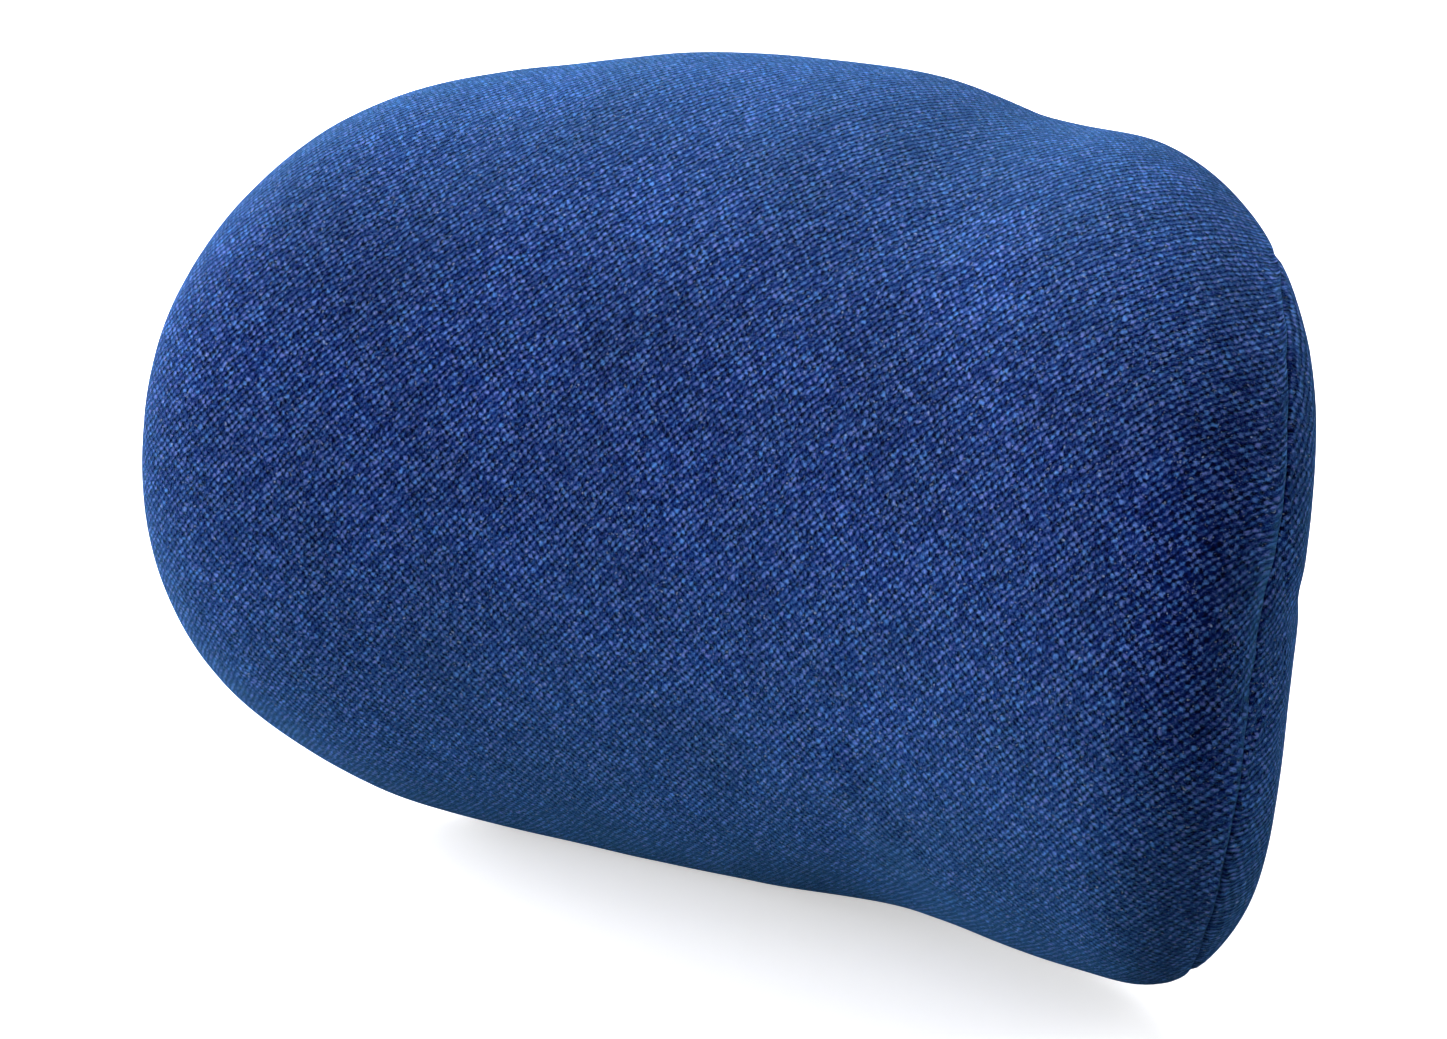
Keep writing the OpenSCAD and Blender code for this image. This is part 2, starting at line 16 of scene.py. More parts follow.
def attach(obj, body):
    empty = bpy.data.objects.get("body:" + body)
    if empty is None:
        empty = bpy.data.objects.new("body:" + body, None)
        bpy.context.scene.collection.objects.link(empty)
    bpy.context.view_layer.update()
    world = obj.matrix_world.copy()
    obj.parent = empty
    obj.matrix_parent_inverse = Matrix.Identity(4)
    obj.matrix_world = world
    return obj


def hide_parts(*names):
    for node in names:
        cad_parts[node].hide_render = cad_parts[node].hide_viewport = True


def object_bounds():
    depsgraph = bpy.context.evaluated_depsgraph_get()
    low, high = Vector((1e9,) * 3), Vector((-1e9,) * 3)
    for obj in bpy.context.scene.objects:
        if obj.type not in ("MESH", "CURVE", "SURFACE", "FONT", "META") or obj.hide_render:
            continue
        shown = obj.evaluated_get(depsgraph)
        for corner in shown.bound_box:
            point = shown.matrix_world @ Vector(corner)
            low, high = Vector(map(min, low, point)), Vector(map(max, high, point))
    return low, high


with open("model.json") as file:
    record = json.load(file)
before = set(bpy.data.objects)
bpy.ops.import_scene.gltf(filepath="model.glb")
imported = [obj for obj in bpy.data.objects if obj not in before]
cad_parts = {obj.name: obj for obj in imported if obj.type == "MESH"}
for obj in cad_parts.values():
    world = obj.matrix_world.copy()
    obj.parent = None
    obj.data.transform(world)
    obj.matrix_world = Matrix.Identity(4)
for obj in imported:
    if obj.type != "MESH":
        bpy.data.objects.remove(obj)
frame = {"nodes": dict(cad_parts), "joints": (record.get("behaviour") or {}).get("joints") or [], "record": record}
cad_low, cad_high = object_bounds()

# ---------- driving dimensions ----------

HALF_WIDTH = 0.150
TOP_HEIGHT = 0.0983
BOTTOM_HEIGHT = 0.0992
FRONT_DEPTH = 0.061
BACK_DEPTH = 0.044
WING_FORWARD = 0.045
LOWER_WING_LOSS = 0.16
END_DROP = 0.0065
EDGE_SET_BACK = 0.0085
COVER_T = 0.0012
LEAN = math.radians(10)
SEAM_TURN = math.radians(32)
SEAM_OFFSET = 0.0965
SEAM_SWAY = 0.0026
SEAM_SWAY_MIDDLE = math.radians(-28)
SEAM_SWAY_REACH = math.radians(32)

# Powers of the cushion's outlines and sections; the sewn outlines have fuller corners than the CAD form
TOP_OUTLINE = (3.25, 2.8)
BOTTOM_OUTLINE = (4.1, 2.95)
FRONT_OUTLINE = (3.2, 2.4)
BACK_OUTLINE = (2.6, 1.75)
WING_POWER = 2.5
TIP_POWER = 30
FRONT_POWER = 2.1
BACK_POWER = 1.95

# Where the sewn edge is drawn in (-) or fuller (+) than its outline: place along the half width from the
# middle, how much of the height, and over what part of the half width
TOP_WAISTS = [(-0.50, -0.030, 0.20), (0.37, -0.042, 0.17)]
BOTTOM_WAISTS = [(-0.80, -0.012, 0.10), (0.33, -0.036, 0.22), (0.80, 0.050, 0.11)]

# The tilt hinge is the pad's own anchor
hinge = Vector(next(j for j in frame["joints"] if j["name"] == "pad_tilt")["pos_m"])
NECK_REACH = 0.058
NECK_RISE = 0.020
PAD_TO_ROW = (
    Matrix.Translation(hinge)
    @ Matrix.Rotation(-LEAN, 4, "X")
    @ Matrix.Translation((0, -NECK_REACH, -NECK_RISE))
)

# Grid of the cover: columns run round the cushion, rows from seam to seam, rings over a side panel
COLUMNS = 216
ROWS = 150
RINGS = 34
TOP_SEAM = COLUMNS // 6
BOTTOM_SEAM = COLUMNS // 3
FRONT_MIDDLE = COLUMNS * 3 // 4
BACK_MIDDLE = COLUMNS // 4
ZIP_COLUMNS = COLUMNS // 36
ZIP_END = 0.70
# Share of even spacing between the rows; the rest draws them together towards the side seams
ROW_EVENNESS = 0.62
# Above 1, the rings lie closer together towards a side panel's tip
RING_POWER = 2.8

# Sewing and weave
THREAD = 0.00102
SEAM_DEPTH = 0.0006
SEAM_REACH = 0.0013
SEAM_DIP = 0.0002
SEAM_DIP_REACH = 0.007
PUCKER = 0.00045
PUCKER_STEP = 0.008
PUCKER_REACH = 0.011
PUCKER_CONTRAST = 1.6
LUMP = 0.0006
LUMP_STEP = 0.045
FINE_LUMP = 0.25 * LUMP
FINE_LUMP_STEP = LUMP_STEP / 3

# Seeds of the noise. The two panels of a side seam share one, so they pucker alike
LUMP_SEED = 7.0
FINE_LUMP_SEED = 23.0
SIDE_SEAM_SEEDS = {-1: 3.0, 1: 2.0}
REAR_SEAM_SEED = 11.0

# Search for the side seam: where it starts, as a share of the half width, and how often it halves
SEARCH_FROM = 0.4
SEARCH_ROUNDS = 40


# ---------- cushion form ----------

def section(x, powers):
    return (1 - np.minimum(np.abs(x), 1) ** powers[0]) ** (1 / powers[1])


def signed_power(value, power):
    return np.sign(value) * np.abs(value) ** power


def waisted(x, waists):
    """The outline's factor at x: 1, less or more around each waist."""
    factor = np.ones_like(x)
    for place, amount, reach in waists:
        factor = factor + amount * np.exp(-(((x - place) / reach) ** 2))
    return factor


def pad_points(x, turn):
    """Points of the cushion in the pad's frame; turn is 0 on the top edge and a quarter turn behind."""
    up = np.cos(turn)
    back = np.sin(turn)
    front = back < 0
    power = np.where(front, 2 / FRONT_POWER, 2 / BACK_POWER)
    top = section(x, TOP_OUTLINE) * waisted(x, TOP_WAISTS)
    bottom = section(x, BOTTOM_OUTLINE) * waisted(x, BOTTOM_WAISTS)
    rise = np.where(up >= 0, TOP_HEIGHT * top, BOTTOM_HEIGHT * bottom)
    depth = np.where(
        front,
        FRONT_DEPTH * section(x, FRONT_OUTLINE),
        BACK_DEPTH * section(x, BACK_OUTLINE),
    )
    z = signed_power(up, power)
    y = signed_power(back, power)
    set_back = EDGE_SET_BACK * (1 - np.abs(x) ** TIP_POWER)
    sunk = np.minimum(rise * z, 0) / BOTTOM_HEIGHT
    wing = WING_FORWARD * (1 - LOWER_WING_LOSS * sunk**2)
    return np.stack(
        [
            HALF_WIDTH * x,
            depth * y + set_back * z * z - wing * np.abs(x) ** WING_POWER,
            rise * z - END_DROP * x * x,
        ],
        -1,
    )


def pad_normals(x, turn):
    """Outward normals of that form."""
    step = 1e-4
    inner = np.clip(x, -1 + 2 * step, 1 - 2 * step)
    across = pad_points(inner + step, turn) - pad_points(inner - step, turn)
    around = pad_points(inner, turn + step) - pad_points(inner, turn - step)
    normal = np.cross(across, around)
    return normal / np.maximum(np.linalg.norm(normal, axis=-1, keepdims=True), 1e-12)


def seam_x(turn, side):
    """Where the side seam runs, as x: a plane's cut, swayed outwards below the front's top edge."""
    from_middle = (turn - SEAM_SWAY_MIDDLE + math.pi) % (2 * math.pi) - math.pi
    offset = SEAM_OFFSET + SEAM_SWAY * np.exp(-((from_middle / SEAM_SWAY_REACH) ** 2))
    low = np.full_like(turn, SEARCH_FROM)
    high = np.ones_like(turn)
    for _ in range(SEARCH_ROUNDS):
        middle = (low + high) / 2
        p = pad_points(side * middle, turn)
        reach = side * p[..., 0] * math.cos(SEAM_TURN) + p[..., 1] * math.sin(SEAM_TURN)
        inside = reach < offset
        low = np.where(inside, middle, low)
        high = np.where(inside, high, middle)
    return low


def arc(points, axis):
    """Length along one direction of a grid of points, from its first row or column."""
    steps = np.linalg.norm(np.diff(points, axis=axis), axis=-1)
    start = np.zeros_like(np.take(steps, [0], axis=axis))
    return np.concatenate([start, np.cumsum(steps, axis=axis)], axis=axis)


def ripple(points, step, seed):
    """Smooth noise from -1 to 1 at each point."""
    flat = points.reshape(-1, 3) / step + seed
    return np.array([noise.noise(Vector(p)) for p in flat]).reshape(points.shape[:-1])


turns = np.arange(COLUMNS) * 2 * math.pi / COLUMNS
seams = {side: seam_x(turns, side) for side in (-1, 1)}


def seam_relief(distance, along):
    """How far the cloth lies below the cushion's form near a seam."""
    drawn_in = SEAM_DEPTH * np.exp(-distance / SEAM_REACH)
    dip = SEAM_DIP * np.exp(-((distance / SEAM_DIP_REACH) ** 2))
    pucker = PUCKER * along * np.exp(-distance / PUCKER_REACH)
    return drawn_in + dip + pucker


def pucker_along(seam_points, seed):
    """Pucker strength along a closed or open seam, from -1 to 1."""
    return np.clip(PUCKER_CONTRAST * ripple(seam_points, PUCKER_STEP, seed), -1, 1)


class Grid:
    """One closed band or cap of the cover: its form's points, its normals and its lumps."""

    def __init__(self, x, turn):
        self.base = pad_points(x, turn)
        self.normal = pad_normals(x, turn)
        self.lumps = LUMP * ripple(self.base, LUMP_STEP, LUMP_SEED)
        self.lumps += FINE_LUMP * ripple(self.base, FINE_LUMP_STEP, FINE_LUMP_SEED)


def sleeve_grid():
    """The band between the side seams, with its seams' relief and its distances along and across."""
    share = np.linspace(-1, 1, ROWS + 1)
    eased = ROW_EVENNESS * share + (1 - ROW_EVENNESS) * np.sin(share * math.pi / 2)
    side_seam = np.where(share[:, None] < 0, seams[-1][None, :], seams[1][None, :])
    x = eased[:, None] * side_seam
    grid = Grid(x, np.broadcast_to(turns, x.shape))
    run = arc(grid.base, 0)
    relief = np.zeros_like(x)
    for distance, row, side in ((run, 0, -1), (run[-1] - run, -1, 1)):
        strength = pucker_along(grid.base[row], SIDE_SEAM_SEEDS[side])
        relief += seam_relief(distance, strength[None, :])
    ring = np.concatenate([grid.base, grid.base[:, :1]], axis=1)
    around = arc(ring, 1)
    length = around[:, -1:]
    around = around[:, :-1]
    for column in (TOP_SEAM, BOTTOM_SEAM):
        away = np.abs(around - around[:, column : column + 1])
        away = np.minimum(away, length - away)
        strength = pucker_along(grid.base[:, column], REAR_SEAM_SEED + column)
        relief += seam_relief(away, strength[:, None])
    grid.points = grid.base + grid.normal * (grid.lumps - relief)[..., None]
    level = arc(grid.base[..., :2], 0)
    grid.across = level - level[ROWS // 2]
    grid.around = around
    grid.length = length
    return grid


def side_grid(side):
    """The cap outside one side seam, in rings from the seam to the tip."""
    share = np.linspace(0, 1, RINGS + 1)[:, None]
    seam = seams[side][None, :]
    x = side * (1 - (1 - seam) * (1 - share) ** RING_POWER)
    grid = Grid(x, np.broadcast_to(turns, x.shape))
    run = arc(grid.base, 0)
    strength = pucker_along(grid.base[0], SIDE_SEAM_SEEDS[side])
    relief = seam_relief(run, strength[None, :])
    grid.points = grid.base + grid.normal * (grid.lumps - relief)[..., None]
    grid.points[-1] = grid.points[-1].mean(0)
    sideways = np.array([-side * math.sin(SEAM_TURN), math.cos(SEAM_TURN), 0])
    offset = grid.base - grid.base[-1].mean(0)
    angle = np.arctan2(offset[..., 2], offset @ sideways * side)
    from_tip = run[-1] - run
    grid.across = from_tip * np.cos(angle)
    grid.upward = from_tip * np.sin(angle)
    return grid


sleeve = sleeve_grid()
side_panels = {side: side_grid(side) for side in (-1, 1)}

# ---------- meshes ----------

MERGE_DISTANCE = 1e-6


def to_row(points):
    """From the pad's frame to the row frame."""
    matrix = np.array(PAD_TO_ROW)
    return points.reshape(-1, 3) @ matrix[:3, :3].T + matrix[:3, 3]


def mesh_piece(name, points, faces, weave=None):
    """A smooth mesh object in the row frame, with its thread coordinates kept as an attribute."""
    mesh = bpy.data.meshes.new(name)
    mesh.from_pydata([tuple(p) for p in to_row(points)], [], faces)
    if weave is not None:
        attribute = mesh.attributes.new("weave", "FLOAT_VECTOR", "POINT")
        attribute.data.foreach_set("vector", (weave / THREAD).astype(np.float32).ravel())
    mesh.update()
    mesh.shade_smooth()
    piece = bpy.data.objects.new(name, mesh)
    bpy.context.scene.collection.objects.link(piece)
    return piece


def ring_faces(rings, wide):
    """Faces from each closed ring of points to the next."""
    faces = []
    for ring in range(rings - 1):
        a = ring * wide
        for column in range(wide):
            after = (column + 1) % wide
            faces.append((a + column, a + wide + column, a + wide + after, a + after))
    return faces


def tidy_mesh(piece):
    """Merges doubled points and drops loose ones."""
    edit = bmesh.new()
    edit.from_mesh(piece.data)
    bmesh.ops.remove_doubles(edit, verts=edit.verts, dist=MERGE_DISTANCE)
    loose = [v for v in edit.verts if not v.link_faces]
    bmesh.ops.delete(edit, geom=loose, context="VERTS")
    edit.to_mesh(piece.data)
    edit.free()
    piece.data.update()


def thicken(piece, thickness):
    """Gives a sheet its thickness on its inner side."""
    solid = piece.modifiers.new("thickness", "SOLIDIFY")
    solid.thickness = thickness
    solid.offset = -1
    solid.use_even_offset = False
    apply_modifiers(piece)


def apply_modifiers(piece):
    """Makes what the modifiers do the piece's own mesh."""
    graph = bpy.context.evaluated_depsgraph_get()
    evaluated = piece.evaluated_get(graph)
    mesh = bpy.data.meshes.new_from_object(evaluated, preserve_all_data_layers=True, depsgraph=graph)
    piece.modifiers.clear()
    old = piece.data
    piece.data = mesh
    bpy.data.meshes.remove(old)
    mesh.name = piece.name


# ---------- cloth ----------

# The coarse copy keeps every so many rows, columns and rings of the cover's grid
CLOTH_ROW_STEP = 5
CLOTH_COLUMN_STEP = 4
CLOTH_RING_STEP = 2
CLOTH_FRAMES = 20
CLOTH_PRESSURE = 6.0
# Growth of the cloth before it is pressed out, the most that its relief may add, and how often its
# movement is averaged with its neighbours to find the broad swelling
CLOTH_SLACK = 0.004
CLOTH_CAP = 0.0009
CLOTH_FORM_ROUNDS = 40


def simulate_cover():
    """How far the pressed-out cover moves along its normals, on a coarse grid from tip to tip."""
    left, right = side_panels[-1], side_panels[1]
    turns_kept = slice(None, None, CLOTH_COLUMN_STEP)

    def coarse(kind):
        parts = (
            getattr(left, kind)[: CLOTH_RING_STEP - 1 : -CLOTH_RING_STEP],
            getattr(sleeve, kind)[::CLOTH_ROW_STEP],
            getattr(right, kind)[CLOTH_RING_STEP::CLOTH_RING_STEP],
        )
        return np.concatenate(parts)[:, turns_kept]

    points = coarse("points")
    normals = coarse("normal")
    rings, wide = points.shape[:2]
    inner = points[1:-1].reshape(-1, 3)
    tips = np.stack([points[0].mean(0), points[-1].mean(0)])
    first_tip = len(inner)
    faces = ring_faces(rings - 2, wide)
    last = (rings - 3) * wide
    for column in range(wide):
        after = (column + 1) % wide
        faces.append((first_tip, column, after))
        faces.append((first_tip + 1, last + after, last + column))
    cover = mesh_piece("cloth_form", np.concatenate([inner, tips]), faces)

    seam_rings = (RINGS // CLOTH_RING_STEP, RINGS // CLOTH_RING_STEP + ROWS // CLOTH_ROW_STEP)
    seam_columns = (TOP_SEAM // CLOTH_COLUMN_STEP, BOTTOM_SEAM // CLOTH_COLUMN_STEP)
    sewn = cover.vertex_groups.new(name="sewn")
    for ring in range(1, rings - 1):
        between = seam_rings[0] <= ring <= seam_rings[1]
        for column in range(wide):
            if ring in seam_rings or (between and column in seam_columns):
                sewn.add([(ring - 1) * wide + column], 1.0, "REPLACE")

    cloth = cover.modifiers.new("cloth", "CLOTH")
    settings = cloth.settings
    settings.quality = 6
    settings.mass = 0.2
    settings.tension_stiffness = 20
    settings.compression_stiffness = 20
    settings.shear_stiffness = 8
    settings.bending_stiffness = 0.4
    settings.use_pressure = True
    settings.uniform_pressure_force = CLOTH_PRESSURE
    settings.shrink_min = -CLOTH_SLACK
    settings.vertex_group_mass = "sewn"
    settings.effector_weights.gravity = 0
    cloth.collision_settings.use_collision = False
    cloth.point_cache.frame_start = 1
    cloth.point_cache.frame_end = CLOTH_FRAMES
    scene = bpy.context.scene
    for frame_number in range(1, CLOTH_FRAMES + 1):
        scene.frame_set(frame_number)
    graph = bpy.context.evaluated_depsgraph_get()
    settled = cover.evaluated_get(graph).data
    flat = np.empty(3 * len(settled.vertices), np.float32)
    settled.vertices.foreach_get("co", flat)
    back_to_pad = np.array(PAD_TO_ROW.inverted())
    after = flat.reshape(-1, 3) @ back_to_pad[:3, :3].T + back_to_pad[:3, 3]
    scene.frame_set(1)
    bpy.data.objects.remove(cover)

    moved = np.zeros((rings, wide))
    shift = after[:first_tip].reshape(rings - 2, wide, 3) - points[1:-1]
    moved[1:-1] = (shift * normals[1:-1]).sum(-1)
    moved[0] = moved[1].mean()
    moved[-1] = moved[-2].mean()
    return moved, seam_rings


def local_part(moved):
    """What is left of a field once its broad swelling is taken away, so that the outline stays."""
    broad = moved.copy()
    for _ in range(CLOTH_FORM_ROUNDS):
        beside = np.roll(broad, 1, axis=1) + np.roll(broad, -1, axis=1)
        ends = np.concatenate([broad[:1], broad, broad[-1:]])
        broad = (beside + ends[:-2] + ends[2:]) / 4
    return CLOTH_CAP * np.tanh((moved - broad) / (2 * CLOTH_CAP))


def refined(values, step, wrap):
    """Smooth values between the rows of a coarse grid; wrap joins its last row to its first."""
    count = len(values)
    fine_count = count * step if wrap else (count - 1) * step + 1
    place = np.arange(fine_count) / step
    index = np.minimum(place.astype(int), count - 1 if wrap else count - 2)
    t = (place - index)[:, None]

    def beside(shift):
        if wrap:
            return values[(index + shift) % count]
        return values[np.clip(index + shift, 0, count - 1)]

    lean_in = (beside(1) - beside(-1)) / 2
    lean_out = (beside(2) - beside(0)) / 2
    rise = beside(1) - beside(0)
    curve = (3 * rise - 2 * lean_in - lean_out) * t**2 + (lean_in + lean_out - 2 * rise) * t**3
    return beside(0) + lean_in * t + curve


def settle_cover():
    """Adds the simulated wrinkles and fullness to the cover's grids."""
    moved, seam_rings = simulate_cover()
    relief = refined(local_part(moved).T, CLOTH_COLUMN_STEP, True).T
    first, last = seam_rings
    for grid, part, step in (
        (side_panels[-1], relief[first::-1], CLOTH_RING_STEP),
        (sleeve, relief[first : last + 1], CLOTH_ROW_STEP),
        (side_panels[1], relief[last:], CLOTH_RING_STEP),
    ):
        grid.points += grid.normal * refined(part, step, False)[..., None]
    for grid in side_panels.values():
        grid.points[-1] = grid.points[-1].mean(0)


settle_cover()

# ---------- cover pieces ----------

# The opening in the back cover that the hinge's neck comes out of
HOLE_HALF_WIDTH = 0.0147
HOLE_HALF_HEIGHT = 0.0135


def band(grid_points, columns, keep):
    """Points and faces of the given columns of a band, where keep(row, column) allows a face."""
    rows = grid_points.shape[0]
    wide = len(columns)
    points = grid_points[:, columns]
    faces = []
    for row in range(rows - 1):
        for k in range(wide - 1):
            if keep(row, columns[k]):
                a = row * wide + k
                faces.append((a, a + wide, a + wide + 1, a + 1))
    return points, faces


def sleeve_weave(columns, middle):
    """Thread coordinates: along the width from the middle, and round the cushion from one column."""
    up = sleeve.around[:, columns] - sleeve.around[:, middle : middle + 1]
    wrapped = np.array([c < columns[0] for c in columns])
    up = up + sleeve.length * wrapped[None, :]
    across = sleeve.across[:, columns]
    return np.stack([across, up, np.zeros_like(up)], -1)


share_rows = np.linspace(-1, 1, ROWS + 1)
zip_rows = [row for row in range(ROWS) if abs(share_rows[row] + 1 / ROWS) < ZIP_END]
zip_from, zip_to = zip_rows[0], zip_rows[-1]


def on_zip(row, column):
    """Whether the zip's strip covers that face of the sleeve."""
    return BOTTOM_SEAM <= column < BOTTOM_SEAM + ZIP_COLUMNS and zip_from <= row <= zip_to


def make_front_cover():
    columns = [c % COLUMNS for c in range(BOTTOM_SEAM, COLUMNS + TOP_SEAM + 1)]
    weave = sleeve_weave(columns, FRONT_MIDDLE)
    cloth = band(sleeve.points, columns, lambda row, column: not on_zip(row, column))
    piece = mesh_piece("front_panel", *cloth, weave)
    tidy_mesh(piece)
    thicken(piece, COVER_T)
    return piece


def make_back_cover():
    columns = list(range(TOP_SEAM, BOTTOM_SEAM + 1))
    weave = sleeve_weave(columns, BACK_MIDDLE)
    weave[..., 1] *= -1

    def outside_hole(row, column):
        corners = sleeve.points[row : row + 2, column : column + 2].reshape(-1, 3)
        middle = corners.mean(0)
        return abs(middle[0]) > HOLE_HALF_WIDTH or abs(middle[2] - NECK_RISE) > HOLE_HALF_HEIGHT

    piece = mesh_piece("back_panel", *band(sleeve.points, columns, outside_hole), weave)
    tidy_mesh(piece)
    thicken(piece, COVER_T)
    return piece


def make_side_cover(side):
    grid = side_panels[side]
    weave = np.stack([grid.across, grid.upward, np.zeros_like(grid.across)], -1)
    faces = [face[::side] for face in ring_faces(RINGS + 1, COLUMNS)]
    name = "side_panel_right" if side > 0 else "side_panel_left"
    piece = mesh_piece(name, grid.points, faces, weave)
    tidy_mesh(piece)
    thicken(piece, COVER_T)
    return piece


# ---------- foam ----------

FOAM_GAP = 0.0008
FOAM_STEP = 2
POCKET_BACK = 0.0601
# Pockets in the foam, each as half width, nearest and furthest y, middle z and half height
BOARD_POCKET = (0.0721, 0.0126, 0.0221, 0.008, 0.0521)
KNUCKLE_POCKET = (0.0321, 0.0140, 0.0284, NECK_RISE, 0.0271)
NECK_POCKET = (0.0150, 0.0140, POCKET_BACK, NECK_RISE, 0.0137)


def make_foam():
    """A closed foam form just under the cover, with pockets for the board, the knuckle and its neck."""
    under = COVER_T + FOAM_GAP
    grids = (side_panels[-1], sleeve, side_panels[1])
    left, middle, right = (grid.points - under * grid.normal for grid in grids)
    parts = (left[: FOAM_STEP - 1 : -FOAM_STEP], middle[::FOAM_STEP], right[FOAM_STEP::FOAM_STEP])
    rings = np.concatenate(parts)[:, ::FOAM_STEP]
    rings[0] = rings[0].mean(0)
    rings[-1] = rings[-1].mean(0)
    foam = mesh_piece("foam_pad", rings, ring_faces(*rings.shape[:2]))
    tidy_mesh(foam)
    cutters = [box_cutter(*pocket) for pocket in (BOARD_POCKET, KNUCKLE_POCKET, NECK_POCKET)]
    for cutter in cutters:
        cut = foam.modifiers.new("pocket", "BOOLEAN")
        cut.operation = "DIFFERENCE"
        cut.solver = "EXACT"
        cut.object = cutter
    apply_modifiers(foam)
    for cutter in cutters:
        bpy.data.objects.remove(cutter)
    return foam


def box_cutter(half_width, near, far, middle, half_height):
    """A box in the pad's frame, to be cut out of the foam."""
    edit = bmesh.new()
    bmesh.ops.create_cube(edit, size=1)
    size = Matrix.Diagonal((2 * half_width, far - near, 2 * half_height, 1))
    place = Matrix.Translation((0, (near + far) / 2, middle))
    bmesh.ops.transform(edit, matrix=PAD_TO_ROW @ place @ size, verts=edit.verts)
    mesh = bpy.data.meshes.new("cutter")
    edit.to_mesh(mesh)
    edit.free()
    cutter = bpy.data.objects.new("cutter", mesh)
    bpy.context.scene.collection.objects.link(cutter)
    return cutter


# ---------- zip ----------

TAPE_T = 0.0006
TAPE_SINK = 0.0008
TAPE_FINENESS = 2
COIL_PITCH = 0.0013
COIL_HALF_WIDTH = 0.0024
COIL_HEIGHT = 0.0011
# Middle of the coil above the tape, and its swing to either side, as shares of that height
COIL_LIFT = 0.6
COIL_SWING = 0.5
COIL_WIRE = 0.00036
COIL_SIDES = 6
COIL_STEPS = 10


def make_zip():
    """The zip's two tapes as one strip, with its nylon coil, where the front panel leaves room for it."""
    columns = list(range(BOTTOM_SEAM, BOTTOM_SEAM + ZIP_COLUMNS + 1))
    rows = slice(zip_from, zip_to + 2)
    tape = sleeve.points[rows][:, columns] - TAPE_SINK * sleeve.normal[rows][:, columns]
    up = sleeve.around[rows][:, columns]
    weave = np.stack([sleeve.across[rows][:, columns], up, np.zeros_like(up)], -1) * TAPE_FINENESS
    strip = band(tape, list(range(len(columns))), lambda row, column: True)
    piece = mesh_piece("zip_strip", *strip, weave)
    tidy_mesh(piece)
    thicken(piece, TAPE_T)
    line = tape[:, ZIP_COLUMNS // 2]
    out = sleeve.normal[rows, BOTTOM_SEAM + ZIP_COLUMNS // 2]
    join_meshes(piece, coil_along(line, out))
    return piece


def coil_along(line, out):
    """A flattened helix of wire along a line, as a tube mesh."""
    run = arc(line, 0)
    steps = int(run[-1] / COIL_PITCH) * COIL_STEPS
    at = np.linspace(0, run[-1], steps + 1)
    centre = np.stack([np.interp(at, run, line[:, k]) for k in range(3)], -1)
    normal = np.stack([np.interp(at, run, out[:, k]) for k in range(3)], -1)
    forward = np.gradient(centre, axis=0)
    forward /= np.linalg.norm(forward, axis=1, keepdims=True)
    side = np.cross(normal, forward)
    turn = np.arange(steps + 1) * 2 * math.pi / COIL_STEPS
    path = (
        centre
        + side * (COIL_HALF_WIDTH * np.cos(turn))[:, None]
        + normal * (COIL_HEIGHT * (COIL_LIFT + COIL_SWING * np.sin(turn)))[:, None]
    )
    return tube("zip_coil", path, COIL_WIRE, COIL_SIDES)


def tube(name, path, radius, sides):
    """A round tube along a path, closed at both ends."""
    forward = np.gradient(path, axis=0)
    forward /= np.linalg.norm(forward, axis=1, keepdims=True)
    # Any direction will do that the path never takes
    guide = np.array([0.31, 0.42, 0.85])
    first = np.cross(forward, guide)
    first /= np.linalg.norm(first, axis=1, keepdims=True)
    second = np.cross(forward, first)
    angle = np.arange(sides) * 2 * math.pi / sides
    rings = (
        path[:, None]
        + radius * first[:, None] * np.cos(angle)[None, :, None]
        + radius * second[:, None] * np.sin(angle)[None, :, None]
    )
    faces = []
    for ring in range(len(path) - 1):
        a = ring * sides
        for side in range(sides):
            after = (side + 1) % sides
            faces.append((a + side, a + after, a + sides + after, a + sides + side))
    faces.append(tuple(range(sides))[::-1])
    faces.append(tuple((len(path) - 1) * sides + side for side in range(sides)))
    return mesh_piece(name, rings, faces)


def join_meshes(piece, extra):
    """Adds extra's mesh to piece as a second shell."""
    edit = bmesh.new()
    edit.from_mesh(piece.data)
    edit.from_mesh(extra.data)
    edit.to_mesh(piece.data)
    edit.free()
    bpy.data.objects.remove(extra)
    piece.data.shade_smooth()
    piece.data.update()


front_panel = make_front_cover()
back_panel = make_back_cover()
side_left = make_side_cover(-1)
side_right = make_side_cover(1)
foam_pad = make_foam()
zip_strip = make_zip()

# ---------- materials ----------


# Crepe weave, in threads: how far the yarn strays and at what scale
STRAY = 3.4
STRAY_SCALE = 0.22
# What the diagonal rows, the nodules along them, the fibres and each nodule's own lot add to the
# yarn's height, and what the last two add to its tone
ROW_HEIGHT = 0.31
NODULE_HEIGHT = 0.19
FIBRE_HEIGHT = 0.35
LOT_HEIGHT = 0.22
FIBRE_TONE = 0.55
LOT_TONE = 0.45
FIBRE_SCALE = 2.6
# Scale of the small painted glints: highlights of the shiny yarn painted into the colour
PAINTED_GLINT_SCALE = 1.9
# Worn patches of the pile: their scale per metre, and how much darker or lighter they get
PATCH_SCALE = 30.0
PATCH_SPREAD = 0.24
# Tints of the dye lots: redder, plain and greener
LOT_HUES = [(0.0, (1.25, 0.92, 0.95)), (0.5, (1.0, 1.0, 1.0)), (1.0, (0.70, 1.12, 1.05))]
# Thickness of two plies of the board
PLY_PAIR = 0.0032
# Most of a broad noise lies between these
NOISE_LOW = 0.3
NOISE_HIGH = 0.7


